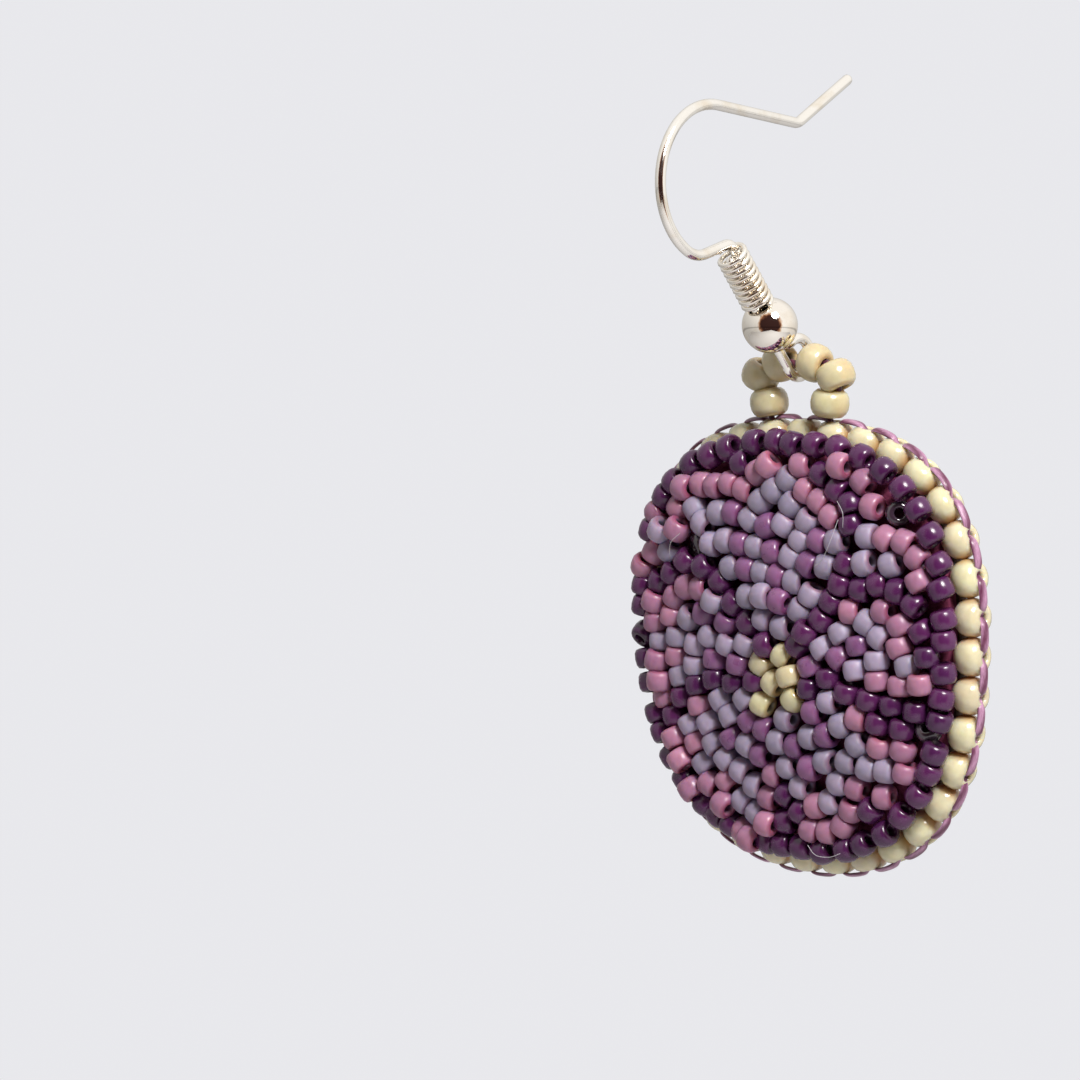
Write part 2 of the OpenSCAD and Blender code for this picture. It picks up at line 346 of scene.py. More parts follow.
edge_angle = math.asin(BALL_HOLE_R / (BALL_D / 2))
profile = []
for i in range(BALL_ROWS + 1):
    a = edge_angle + (math.pi - 2 * edge_angle) * i / BALL_ROWS
    profile.append((BALL_D / 2 * math.sin(a), BALL_D / 2 * math.cos(a)))
lip_r, lip_h = BALL_HOLE_R - BALL_LIP[0], profile[-1][1] + BALL_LIP[1]
profile += [(lip_r, lip_h), (lip_r, -lip_h)]
verts, faces = [], []
for r, h in profile:
    for j in range(BALL_SIDES):
        a = 2 * math.pi * j / BALL_SIDES
        verts.append(on_shank(r * math.cos(a), r * math.sin(a), h))
for i in range(len(profile)):
    low, high = i * BALL_SIDES, (i + 1) % len(profile) * BALL_SIDES
    for j in range(BALL_SIDES):
        m = (j + 1) % BALL_SIDES
        faces.append((low + j, high + j, high + m, low + m))
ball = new_piece("ball_polished", verts, faces)
ball.data.materials.append(silver("silver_ball", (0.96, 0.9, 0.82), (0.86, 0.74, 0.6), 0.05, 0.05))
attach(ball, "hook")
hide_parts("ball")


# Hanging loop beads. Six cream glass seed beads, size 11/0, cut from drawn tube and tumbled
# round, three on each side of the hook's eye.
PANEL_LEAN = 4
LOOP_BEAD_D = 2.16
LOOP_BEAD_H = 1.56
CREAM_HOLE = 0.72
THREAD_R = 0.17
THREAD_GAP = 0.06
# How far across and up the thread's end lies from the last bead
THREAD_END = (-0.1, -0.5)
# Across, up, lean of the hole, and how far out in the hole the thread lies at its two ends
LEG_BEADS = [
    (1.2, 0.24, 16, (-0.2, 0.2)), (2.66, -0.46, 63, (-0.18, -0.18)), (2.15, -1.95, 98, (0.18, 0)),
]

hinge = eye_centre - Vector((0, EYE_R - WIRE_R - THREAD_R - THREAD_GAP))
lean = math.radians(PANEL_LEAN)


def hanging(x, y, z):
    """Point in metres of what hangs from the eye; x, y and z are mm from the thread in the eye."""
    return Vector((x, hinge.x + y * math.cos(lean) - z * math.sin(lean),
                   hinge.y + y * math.sin(lean) + z * math.cos(lean))) * MM


def hanging_way(x, y, z):
    return Vector((x, y * math.cos(lean) - z * math.sin(lean),
                   y * math.sin(lean) + z * math.cos(lean)))


# Drilled beads on points. Each point's turn lays the bead's hole, and its shade tints it
drilled, source, drain = new_group(
    "drilled_beads",
    [("Geometry", "Geometry", None), ("Diameter", "Float", 0.0015),
     ("Length", "Float", 0.0011), ("Hole", "Float", 0.0006),
     ("Lip", "Float", 0.35), ("Squareness", "Float", 0.75),
     ("Sides", "Int", 12), ("Profile", "Int", 8),
     ("Unevenness", "Float", 0.03), ("Seed", "Int", 1),
     ("Material", "Material", None)],
    [("Geometry", "Geometry")],
    tree_kind="GeometryNodeTree",
)
# The section is an oval, fuller on the outside, whose ends stand highest near the hole's lip
wall = maths(drilled, "MULTIPLY", maths(drilled, "SUBTRACT", source["Diameter"], source["Hole"]), 0.5)
inner = maths(drilled, "MULTIPLY", wall, source["Lip"])
outer = maths(drilled, "SUBTRACT", wall, inner)
crest = maths(drilled, "ADD", maths(drilled, "MULTIPLY", source["Hole"], 0.5), inner)
ring = node(drilled, "GeometryNodeCurvePrimitiveCircle",
            {"Resolution": source["Sides"], "Radius": crest})
oval = node(drilled, "GeometryNodeCurvePrimitiveCircle",
            {"Resolution": source["Profile"], "Radius": 1.0})
where = node(drilled, "GeometryNodeInputPosition").outputs[0]
split = parts(drilled, where)
fuller = []
for axis in ("X", "Y"):
    size = maths(drilled, "POWER", maths(drilled, "ABSOLUTE", split[axis]), source["Squareness"])
    fuller.append(maths(drilled, "MULTIPLY", size, maths(drilled, "SIGN", split[axis])))
outside = maths(drilled, "GREATER_THAN", split["X"], 0.0)
reach = maths(drilled, "MULTIPLY_ADD", maths(drilled, "SUBTRACT", outer, inner), outside, inner)
half = maths(drilled, "MULTIPLY", source["Length"], 0.5)
shaped = node(drilled, "ShaderNodeCombineXYZ", {
    "X": maths(drilled, "MULTIPLY", fuller[0], reach), "Y": maths(drilled, "MULTIPLY", fuller[1], half)})
section = node(drilled, "GeometryNodeSetPosition",
               {"Geometry": oval.outputs[0], "Position": shaped.outputs[0]})
bead = node(drilled, "GeometryNodeCurveToMesh",
            {"Curve": ring.outputs[0], "Profile Curve": section.outputs[0]})

# Each vertex keeps how near an end it lies, how far from the hole's middle and how far aside
where = node(drilled, "GeometryNodeInputPosition").outputs[0]
split = parts(drilled, where)
flat = node(drilled, "ShaderNodeCombineXYZ", {"X": split["X"], "Y": split["Y"]})
reach = node(drilled, "ShaderNodeVectorMath", {0: flat.outputs[0]}, operation="LENGTH")
for label, value in (
    ("end", maths(drilled, "ABSOLUTE", maths(drilled, "DIVIDE", split["Z"], source["Length"]))),
    ("girth", maths(drilled, "DIVIDE", reach.outputs["Value"], source["Diameter"])),
    ("flank", maths(drilled, "ABSOLUTE", maths(drilled, "DIVIDE", split["X"], source["Diameter"]))),
):
    bead = node(drilled, "GeometryNodeStoreNamedAttribute",
                {"Geometry": bead.outputs[0], "Name": label, "Value": value})
smooth = node(drilled, "GeometryNodeSetShadeSmooth", {"Geometry": bead.outputs[0]})
turn = node(drilled, "GeometryNodeInputNamedAttribute", {"Name": "turn"}, data_type="FLOAT_VECTOR")
rotation = node(drilled, "FunctionNodeEulerToRotation", {0: turn.outputs["Attribute"]})
uneven = node(drilled, "FunctionNodeRandomValue", {
    "Min": maths(drilled, "SUBTRACT", 1.0, source["Unevenness"]),
    "Max": maths(drilled, "ADD", 1.0, source["Unevenness"]),
    "Seed": source["Seed"],
}, data_type="FLOAT_VECTOR")
strung = node(drilled, "GeometryNodeInstanceOnPoints", {
    "Points": source["Geometry"], "Instance": smooth.outputs[0],
    "Rotation": rotation.outputs[0], "Scale": uneven.outputs["Value"]})
real = node(drilled, "GeometryNodeRealizeInstances", {"Geometry": strung.outputs[0]})
coated = node(drilled, "GeometryNodeSetMaterial",
              {"Geometry": real.outputs[0], "Material": source["Material"]})
feed(drilled, drain, {"Geometry": coated.outputs[0]})


def string_beads(name, places, ways, shades, mat, **sizes):
    """Plain mesh of beads at places, in metres, with their holes along ways and their x flanks
    sideways on the panel."""
    mesh = bpy.data.meshes.new(name)
    mesh.from_pydata([tuple(p) for p in places], [], [])
    turn = mesh.attributes.new("turn", "FLOAT_VECTOR", "POINT")
    eulers = []
    for way in ways:
        flank = way.cross(hanging_way(0, -1, 0)).normalized()
        eulers.append(Matrix((flank, way.cross(flank), way)).transposed().to_euler())
    turn.data.foreach_set("vector", [c for e in eulers for c in e])
    mesh.attributes.new("shade", "FLOAT", "POINT").data.foreach_set("value", shades)
    points = bpy.data.objects.new(name, mesh)
    bpy.context.scene.collection.objects.link(points)
    modifier = points.modifiers.new("beads", "NODES")
    modifier.node_group = drilled
    sizes["Material"] = mat
    for item in drilled.interface.items_tree:
        if item.in_out == "INPUT" and item.name in sizes:
            modifier[item.identifier] = sizes[item.name]
    bpy.context.view_layer.update()
    graph = bpy.context.evaluated_depsgraph_get()
    strung = bpy.data.meshes.new_from_object(points.evaluated_get(graph), depsgraph=graph)
    points.modifiers.clear()
    points.data = strung
    strung.name = name
    return points


# Tone of a glass bead: tinted from bead to bead, with painted shade at its ends or sides, where it
# meets its neighbours, and a dark painted shade in the hole
bead_tone_and_shade, source, drain = new_group(
    "bead_tone_and_shade",
    [("Colour", "Color", (0.5, 0.5, 0.5, 1)),
     ("Painted Shade Colour", "Color", (0.3, 0.3, 0.3, 1)),
     ("Spread", "Float", 0.15), ("Roughness", "Float", 0.3),
     ("Ends", "Float", 1.0), ("Touching", "Float", 0.0),
     ("Bore", "Float", 0.17)],
    [("Colour", "Color"), ("Roughness", "Float"), ("Height", "Float")],
)
shade, end, girth, flank = (
    node(bead_tone_and_shade, "ShaderNodeAttribute", attribute_name=label).outputs["Fac"]
    for label in ("shade", "end", "girth", "flank")
)
place = in_mesh(bead_tone_and_shade)
cloud = noise(bead_tone_and_shade, place, 1800.0, 3.0)
# Painted shade at the ends and sides of a bead, where it meets its neighbours
near_end = maths(bead_tone_and_shade, "MULTIPLY", remap(bead_tone_and_shade, end, 0.38, 0.52), source["Ends"])
near_side = maths(bead_tone_and_shade, "MULTIPLY", remap(bead_tone_and_shade, flank, 0.32, 0.49), source["Touching"])
painted_shade = maths(bead_tone_and_shade, "MAXIMUM", near_end, near_side)
lift = maths(bead_tone_and_shade, "MULTIPLY", shade, source["Spread"])
tinted = node(bead_tone_and_shade, "ShaderNodeHueSaturation", {
    "Hue": maths(bead_tone_and_shade, "MULTIPLY_ADD", shade, 0.012, 0.5),
    "Value": maths(bead_tone_and_shade, "ADD", lift, remap(bead_tone_and_shade, cloud, 0.3, 0.7, 0.92, 1.08)),
    "Color": blend(bead_tone_and_shade, painted_shade, source["Colour"], source["Painted Shade Colour"])})
# Painted shade in the hole: inside the bore the colour turns nearly black
bore_edge = maths(bead_tone_and_shade, "ADD", source["Bore"], 0.04)
in_hole = remap(bead_tone_and_shade, girth, source["Bore"], bore_edge, 0.8, 0.0)
uneven = remap(bead_tone_and_shade, cloud, 0.3, 0.7, 0.85, 1.2)
feed(bead_tone_and_shade, drain, {
    "Colour": blend(bead_tone_and_shade, in_hole, tinted.outputs[0], (0.03, 0.012, 0.02, 1)),
    "Roughness": maths(bead_tone_and_shade, "MULTIPLY", source["Roughness"], uneven),
    "Height": noise(bead_tone_and_shade, place, 7000.0),
})


def bead_glass(name, colour, painted_shade, rough, spread, coat=0.0, milk=0.0, glow=(1, 0.5, 0.2), bump=0.1,
               ends=1.0, touching=0.0, bore=0.17):
    """Bead glass: spread is how much single beads differ, coat the gloss of a polished skin, and
    milk how far light sinks in. The painted shade colour shows at the ends and where touching
    beads lie against each other, and bore is the hole's radius as a share of the bead's diameter,
    inside which dark shade is painted."""
    mat, tree, shader = material(name)
    tone = node(tree, "ShaderNodeGroup", {
        "Colour": (*colour, 1), "Painted Shade Colour": (*painted_shade, 1), "Spread": spread, "Roughness": rough,
        "Ends": ends, "Touching": touching, "Bore": bore,
    }, node_tree=bead_tone_and_shade).outputs
    feed(tree, shader, {
        "Base Color": tone["Colour"],
        "Roughness": tone["Roughness"],
        "Normal": relief(tree, tone["Height"], bump, 0.00002),
        "Coat Weight": coat,
        "Coat Roughness": 0.04,
        "Subsurface Weight": milk,
        "Subsurface Radius": glow,
        "Subsurface Scale": 0.0009,
    })
    return mat


CREAM_GLOW = (1, 0.75, 0.36)
rng = random.Random(11)
# Cream glass: amber painted shade at the beads' ends, and fainter where beads touch side by side
cream = bead_glass("cream_glass", (0.65, 0.575, 0.37), (0.55, 0.31, 0.09), rough=0.22, spread=0.05,
                   coat=0.5, milk=0.6, glow=CREAM_GLOW, ends=0.7, touching=0.3)
places, ways = [], []
for side in (1, -1):
    for x, z, hole_lean, _ in LEG_BEADS:
        a = math.radians(hole_lean)
        places.append(hanging(side * x, 0, z))
        ways.append(hanging_way(side * math.cos(a), 0, -math.sin(a)))
shades = [rng.uniform(-1, 1) for _ in places]
loop_beads = string_beads("loop_beads_cream", places, ways, shades, cream,
                          Diameter=LOOP_BEAD_D * MM, Length=LOOP_BEAD_H * MM, Hole=CREAM_HOLE * MM,
                          Lip=0.2, Squareness=0.9, Sides=32, Profile=16, Unevenness=0.0)
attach(loop_beads, "drop")
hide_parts(*[f"loop_bead_{i}" for i in range(1, 7)])


# Loop thread. Plum nylon beading thread, waxed and drawn tight, that passes through the six
# beads and through the eye of the hook.
# Twisted plies: the colour turns to a painted groove shade where the relief of plies and fibres lies low
plies, source, drain = new_group(
    "plies",
    [("Colour", "Color", (0.3, 0.1, 0.3, 1)),
     ("Painted Groove Shade", "Color", (0.05, 0.01, 0.04, 1)),
     ("Plies", "Float", 3.0), ("Slant", "Float", 2.0)],
    [("Colour", "Color"), ("Height", "Float")],
)
run = node(plies, "ShaderNodeUVMap", uv_map="along").outputs[0]
split = parts(plies, run)
along_it = maths(plies, "MULTIPLY", split["X"], source["Slant"])
around_it = maths(plies, "MULTIPLY", split["Y"], source["Plies"])
phase = maths(plies, "MULTIPLY", maths(plies, "ADD", along_it, around_it), 2 * math.pi)
ply = maths(plies, "MULTIPLY_ADD", maths(plies, "SINE", phase), 0.25, 0.5)
stretched = node(plies, "ShaderNodeMapping", {"Vector": run, "Scale": (3.0, 40.0, 1.0)}).outputs[0]
twisted = maths(plies, "MULTIPLY", ply, noise(plies, stretched, 1.0, 3.0))
feed(plies, drain, {
    "Colour": blend(plies, remap(plies, twisted, 0.1, 0.4), source["Painted Groove Shade"], source["Colour"]),
    "Height": twisted,
})


def thread(name, colour, painted_shade, rough, count, slant):
    """Thread of count plies, darkened in its grooves by a painted shade colour; slant is how many
    plies cross a line along it in a mm.
    """
    mat, tree, shader = material(name)
    look = node(tree, "ShaderNodeGroup", {
        "Colour": (*colour, 1), "Painted Groove Shade": (*painted_shade, 1), "Plies": count, "Slant": slant,
    }, node_tree=plies).outputs
    feed(tree, shader, {
        "Base Color": look["Colour"],
        "Normal": relief(tree, look["Height"], 0.5, 0.00004),
        "Roughness": rough,
        "Sheen Weight": 0.2,
        "Sheen Roughness": 0.35,
    })
    return mat


def eased(points, steps, closed=False):
    """Catmull-Rom curve through points."""
    n = len(points)
    out = []
    for i in range(n if closed else n - 1):
        if closed:
            a, b, c, d = (points[(i + k) % n] for k in (-1, 0, 1, 2))
        else:
            a, b, c, d = points[max(i - 1, 0)], points[i], points[i + 1], points[min(i + 2, n - 1)]
        for s in range(steps):
            t = s / steps
            out.append(0.5 * (2 * b + (c - a) * t + (2 * a - 5 * b + 4 * c - d) * t * t
                              + (3 * b - a - 3 * c + d) * t ** 3))
    if not closed:
        out.append(points[-1])
    return out


# The leg's thread goes in and out of its beads, and its end runs on into the rim
leg = []
for x, z, hole_lean, out_by in LEG_BEADS:
    a = math.radians(hole_lean)
    for end_side, out in zip((-0.5, 0.5), out_by):
        leg.append((x + end_side * LOOP_BEAD_H * math.cos(a) + out * math.sin(a),
                    z - end_side * LOOP_BEAD_H * math.sin(a) + out * math.cos(a)))
leg.append((leg[-1][0] + THREAD_END[0], leg[-1][1] + THREAD_END[1]))
knots = [hanging(-x, 0, z) for x, z in leg[::-1]] + [hanging(0, 0, 0)]
knots += [hanging(x, 0, z) for x, z in leg]
loop_thread = tube("loop_thread_waxed", eased(knots, steps=5), THREAD_R * MM, sides=12)
loop_thread.data.materials.append(
    thread("plum_thread", (0.16, 0.035, 0.07), (0.05, 0.01, 0.02), rough=0.4, count=3, slant=2.5))
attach(loop_thread, "drop")
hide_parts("loop_thread")


# Foundation. Stiff plum felt, cut a little smaller than the edging. The beads are sewn to it,
# and its middle stands forward, so that the face is domed.
PANEL_W = 24
PANEL_H = 25.3
CORNER_SWELL = 0.86
CORNER_AT = 43
LOBE_SWELL = 0.2
LOBE_AT = 30
PANEL_TOP = 2.72
PANEL_Y = 0.4
FELT_T = 1
DOME_RISE = 1.2
SUEDE_T = 0.9
FELT_INSET = 1.92
FIELD_INSET = 0.95
SKIN_GAP = 0.04
# Share of the outline beyond which a disc's cut edge is ragged, and how uneven its faces are, as a
# share of that
CUT_EDGE = 0.97
FACE_WAVE = 0.3
panel_z = -PANEL_TOP - PANEL_H / 2 + LOBE_SWELL


def outline_r(a):
    """Distance in mm from the panel's middle to its outline at angle a in degrees."""
    t = math.radians(a)
    oval = 1 / math.hypot(2 * math.cos(t) / PANEL_W, 2 * math.sin(t) / PANEL_H)
    return (oval + CORNER_SWELL * (1 + math.cos(math.radians(4 * (a - CORNER_AT)))) / 2
            + LOBE_SWELL * math.cos(math.radians(3 * (a - LOBE_AT))))


def on_panel(x, y, z):
    return hanging(x, PANEL_Y + y, panel_z + z)


def felt_front(x, z, inset=FIELD_INSET):
    """How far the felt's front stands before the panel's middle plane."""
    share = min(1, math.hypot(x, z) / (outline_r(math.degrees(math.atan2(z, x))) - inset))
    return FELT_T + DOME_RISE * (1 - share * share)


def disc(name, rows, inset, around, ragged, rng):
    """Skin through rows of (share of the outline, y) from its front pole to its back pole."""
    verts, faces = [], []
    for i, (share, y) in enumerate(rows):
        for j in range(around):
            a = 360 * j / around
            r = share * (outline_r(a) - inset)
            if share > CUT_EDGE:
                r -= ragged * rng.random()
            t = math.radians(a)
            verts.append(on_panel(r * math.cos(t), y + ragged * FACE_WAVE * rng.uniform(-1, 1) * share,
                                  r * math.sin(t)))
    n = len(rows)
    verts += [on_panel(0, rows[0][1], 0), on_panel(0, rows[-1][1], 0)]
    for j in range(around):
        m = (j + 1) % around
        faces.append((n * around, j, m))
        faces.append(((n - 1) * around + j, n * around + 1, (n - 1) * around + m))
        for i in range(n - 1):
            faces.append((i * around + j, (i + 1) * around + j, (i + 1) * around + m, i * around + m))
    return new_piece(name, verts, faces)


felt_mat, tree, shader = material("plum_felt")
hairs = noise(tree, in_mesh(tree), 6000.0, 6.0, 0.7, 1.5)
feed(tree, shader, {
    "Base Color": blend(tree, remap(tree, hairs, 0.3, 0.7),
                        (0.15, 0.022, 0.06, 1), (0.29, 0.065, 0.13, 1)),
    "Normal": relief(tree, hairs, 0.8, 0.0001),
    "Roughness": 0.95,
    "Specular IOR Level": 0.1,
})

felt_rows = [(k, -FELT_T - DOME_RISE * (1 - k * k)) for k in (0.15, 0.3, 0.45, 0.6, 0.75, 0.88, 0.97)]
felt_rows += [(1, -FELT_T + 0.1), (1, -FELT_T / 2), (1, -0.08), (0.97, 0)]
foundation = disc("foundation_felt", felt_rows, FELT_INSET, around=120, ragged=0.06,
                  rng=random.Random(3))
foundation.data.materials.append(felt_mat)
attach(foundation, "drop")
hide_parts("foundation")


# Backing. A disc of thin brown suede, glued over the stitches and caught in the edging, with
# its nap outwards.
suede_mat, tree, shader = material("brown_suede")
place = in_mesh(tree)
nap = noise(tree, place, 9000.0, 5.0, 0.7)
brushed = maths(tree, "MULTIPLY", nap, noise(tree, place, 260.0, 3.0, twist=1.0))
feed(tree, shader, {
    "Base Color": blend(tree, remap(tree, brushed, 0.12, 0.4),
                        (0.05, 0.027, 0.018, 1), (0.17, 0.1, 0.065, 1)),
    "Normal": relief(tree, brushed, 0.5, 0.00008),
    "Roughness": 0.9,
    "Sheen Weight": 0.15,
    "Sheen Roughness": 0.6,
})

suede_rows = [(0.3, SKIN_GAP), (0.7, SKIN_GAP), (0.97, SKIN_GAP), (1, SKIN_GAP + 0.06),
              (1, SUEDE_T - 0.16), (0.99, SUEDE_T - 0.06), (0.97, SUEDE_T - 0.01), (0.9, SUEDE_T),
              (0.6, SUEDE_T), (0.3, SUEDE_T)]
backing = disc("backing_suede", suede_rows, FELT_INSET, around=120, ragged=0.03,
               rng=random.Random(4))
backing.data.materials.append(suede_mat)
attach(backing, "drop")
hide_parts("backing")


# Bead field. About 260 glass seed beads, size 15/0, sewn one by one over the felt: a flower of
# six petals round a cream eye, each petal rimmed in pink round lilac with a mauve vein, with
# lines of glossy purple between the petals and round the rim.
SEED_D = 1.5
SEED_LEN = 1.16
# What a bead takes up along its string
SEED_H = 1.14
SEED_HOLE = 0.5
FLOWER = (-0.4, -1.6)
RIM_INSET = 1.55
RIM_BEADS = 47
# Angles between which a petal reaches the edge, so that the purple row along the rim breaks off
RIM_BREAK = (150, 163)
# mm that this row lies further in at the right, at the bottom and at the two left corners, and how
# much the lower corner differs from the upper one; and where a corner starts
RIM_RIGHT, RIM_BOTTOM, RIM_CORNER, RIM_LOWER = 0.15, 0.12, 0.6, 0.3
CORNER_FROM = 0.75

# Strings of beads: their glass, whether the holes lie along the string or round the flower's eye,
# then each string's places in mm from the panel's middle
STRINGS = [
    ("cream", "round", [
        [(-1.2, -0.6), (0.3, -0.4)], [(0.6, -1.6), (-0.7, -2.0)], [(-1.2, -3.0)], [(0.7, -2.9)],
    ]),
    # Lines between the petals
    ("purple", "round", [
        [(-1.0, 0.6), (-2.8, 1.8), (-4.1, 3.2), (-5.3, 4.4)],
        [(-7.1, 4.7), (-8.8, 3.6), (-9.9, 2.9)],
    ]),
    ("purple", "along", [
        [(1.2, 0.2), (2.6, 1.7), (3.7, 2.9), (4.6, 4.8)], [(5.1, 6.7), (4.5, 8.4), (2.8, 9.3)],
        [(5.3, 3.5), (7.2, 3.5), (8.7, 2.8)],
    ]),
    ("purple", "round", [
        [(9.2, 1.1), (10.2, -0.3)], [(1.7, -2.3), (3.1, -1.75)],
        [(4.4, -2.3), (6.3, -2.6), (8.4, -3.2)], [(6.1, -3.9), (8.0, -4.3)],
    ]),
    ("purple", "along", [[(-0.7, -7.8), (0.4, -8.7)]]),
    ("purple", "round", [
        [(-0.8, -9.7)], [(-2.0, -1.65), (-3.7, -2.0), (-5.7, -2.1), (-7.5, -2.7), (-8.5, -3.9)],
    ]),
    # Rims of the petals
    ("pink", "along", [
        [(-7.3, 8.9), (-6.0, 8.9), (-4.7, 8.6), (-3.6, 8.7), (-2.5, 8.5)],
        [(-1.6, 9.4), (-0.7, 10.1)], [(1.2, 9.7)], [(1.9, 8.1), (3.5, 7.4)],
        [(-8.9, 7.2), (-8.0, 7.8)],
    ]),
    ("pink", "round", [[(-7.2, 6.6)], [(-9.7, 5.5), (-9.6, 4.3)]]),
    ("pink", "along", [[(-6.9, 3.2), (-5.6, 3.4)]]),
    ("pink", "round", [
        [(-8.0, 2.6), (-9.6, 2.2)], [(-8.4, 1.4), (-9.7, 1.1)], [(-8.1, -0.7), (-9.8, -1.2)],
        [(-9.8, -2.4), (-9.4, -3.3)], [(-6.3, -3.35)], [(-7.2, -5.8), (-8.8, -6.0)], [(-8.0, -7.2)],
        [(-7.3, -8.1), (-6.1, -8.0), (-5.0, -7.7)], [(-5.2, -9.3)], [(-4.2, -10.5), (-2.4, -10.3)],
        [(-1.8, -8.6)], [(-1.2, -7.0)],
    ]),
    ("pink", "along", [[(4.8, -4.0)]]),
    ("pink", "round", [[(6.2, -5.2), (7.6, -5.3)], [(7.8, -6.6)]]),
    ("pink", "along", [
        [(6.2, -7.8), (4.7, -7.6)], [(4.0, -8.8), (3.4, -9.7)], [(2.4, -10.3), (1.2, -10.2)],
        [(1.7, -8.8)], [(4.8, 2.1)], [(6.8, 2.4)],
    ]),
    ("pink", "round", [[(8.0, 1.6)], [(7.9, 0.4)], [(9.7, -1.4), (7.9, -1.9), (6.3, -1.5)]]),
    ("pink", "along", [[(4.0, 9.8)]]),
    ("pink", "round", [[(5.5, 9.2)]]),
    ("pink", "along", [[(6.2, 7.7)], [(7.1, 5.9), (8.9, 5.0)]]),
    ("pink", "round", [[(9.4, 3.8)]]),
    # Veins
    ("mauve", "along", [[(-3.3, 7.4)], [(-2.7, 5.5)], [(-1.9, 4.1)]]),
    ("mauve", "round", [
        [(-0.8, 6.2), (-0.1, 4.4), (0.5, 2.8)], [(2.2, 4.4), (2.9, 6.0)],
        [(2.1, -1.0), (3.4, -0.3), (5.2, 0.3)],
    ]),
    ("mauve", "along", [[(2.1, -3.5)], [(2.9, -5.0)], [(0.8, -5.2)], [(1.6, -6.6)]]),
    ("mauve", "round", [
        [(-1.2, -4.4), (-2.3, -3.9)], [(-3.9, -5.0)], [(-1.9, -6.0)], [(-3.1, -0.9), (-4.8, -0.8)],
        [(-3.9, 1.2), (-5.5, 1.8)],
    ]),
    # Fields of the petals
    ("lilac", "along", [
        [(-1.9, 6.9), (-1.2, 7.5), (-0.5, 8.4), (0.3, 9.3)], [(0.2, 6.8), (1.1, 7.7)],
        [(0.8, 5.1), (1.5, 5.9), (2.3, 6.8)], [(-6.3, 7.5), (-5.3, 6.6)], [(-4.3, 7.1)],
        [(-4.9, 5.5), (-3.8, 5.5)],
    ]),
    ("lilac", "round", [[(-3.4, 4.3)]]),
    ("lilac", "along", [
        [(-1.3, 5.4)], [(-1.0, 3.7)], [(-2.2, 2.7), (-0.6, 2.5)], [(-0.9, 1.5), (0.3, 1.3)],
        [(1.4, 3.5)], [(2.4, 2.8), (1.5, 1.7)], [(3.4, 4.2)], [(3.9, 5.8)],
    ]),
    ("lilac", "round", [
        [(-9.1, 6.4), (-8.2, 5.3)], [(-4.2, 2.4)], [(-6.5, 1.5)], [(-7.7, 0.5), (-9.4, 0)],
        [(-6.5, -0.1), (-5.1, 0.4)], [(-3.4, 0), (-2.3, 0.4)], [(-8.2, -1.8), (-6.4, -1.2)],
        [(-4.3, -3.0), (-2.6, -2.9)], [(-5.7, -4.3), (-4.0, -4.0)], [(-7.3, -4.7)], [(-5.3, -5.4)],
        [(-2.6, -5.4)], [(-6.2, -6.8), (-4.5, -6.4)], [(-3.5, -7.1), (-2.6, -7.7)],
        [(-4.0, -8.8), (-2.9, -9.2)],
    ]),
    ("lilac", "along", [[(0.2, -3.8)]]),
    ("lilac", "round", [[(-0.5, -5.2), (0, -6.3)]]),
    ("lilac", "along", [[(0.7, -7.4)], [(1.7, -4.4)], [(2.4, -5.8)], [(3.2, -2.9)], [(3.6, -4.0)]]),
    ("lilac", "round", [[(4.8, -5.1)]]),
    ("lilac", "along", [[(3.3, -7.2)], [(3.9, -6.3), (5.2, -6.5), (6.6, -6.8)], [(2.6, -8.2)]]),
    ("lilac", "round", [[(2.6, 0.2)], [(4.2, 0.9)]]),
    ("lilac", "along", [[(5.8, 1.6), (6.6, 0.9)]]),
    ("lilac", "round", [[(6.4, -0.4), (8.2, -0.6)], [(4.9, -1.0)]]),
    ("lilac", "along", [[(5.9, 5.9)], [(6.0, 4.5), (7.6, 4.8)]]),
    # Clear beads that filled the last gaps
    ("smoke", "along", [[(7.7, 7.7)]]),
    ("smoke", "round", [[(-6.6, 5.6)], [(9.5, -4.3)]]),
]


# Beads of the rim that stand up with their holes to the front: where, how near one has to be, and
# how much its hole still leans
OPEN_AT = [(8.9, 6.2), (7.7, 7.7), (-8.5, -8.3), (-10.7, -0.3), (2.4, -11.4)]
OPEN_WITHIN = 0.7
OPEN_LEAN = 0.7
# How freely the beads of the rim, of the strings and of the filling give way to each other
RIM_GIVE, STRING_GIVE, FILL_GIVE = 0.15, 0.4, 1.0
# Smallest gap between two beads, as a share of what they need side by side, and how far in mm a
# crowded one is pushed up
CROWDING = 0.84
HIGHEST = 0.55
# Each round of relaxing pushes beads apart by a share of their overlap, pulls them back by a
# share of the way they went, lets them sink to a share of their height, and keeps them from
# passing the row along the rim by more than the slack in mm
RELAX_ROUNDS = 30
PUSH, PULL, SETTLE, SLACK = 0.35, 0.06, 0.96, 0.1
# Scatter: mm that a bead stands up, radians that its hole lies askew and is tilted, and the rim's
# own, askew and in mm to the side
STAND_UP, ASKEW, TILT = 0.2, 0.14, 0.08
RIM_ASKEW, RIM_STRAY = 0.12, 0.12
# Filling: mm between the places that are tried, how many lie to each side and up and down, and
# their scatter; how far in they start, and how far in the beads are still purple like the rim
GRID, GRID_HALF, GRID_STRAY = 0.3, (38, 40), 0.1
FILL_INSET, RIM_BAND = RIM_INSET + 0.7, RIM_INSET + 1.9
# Sewing: mm that a bead sinks into the felt, mm that a clear one sinks between its neighbours
SEWN_IN, SUNK = 0.03, 0.45


def hole_way(x, z):
    """Angle of a bead's hole on the face that lies across the line from the flower's eye."""
    return math.atan2(z - FLOWER[1], x - FLOWER[0]) + math.pi / 2


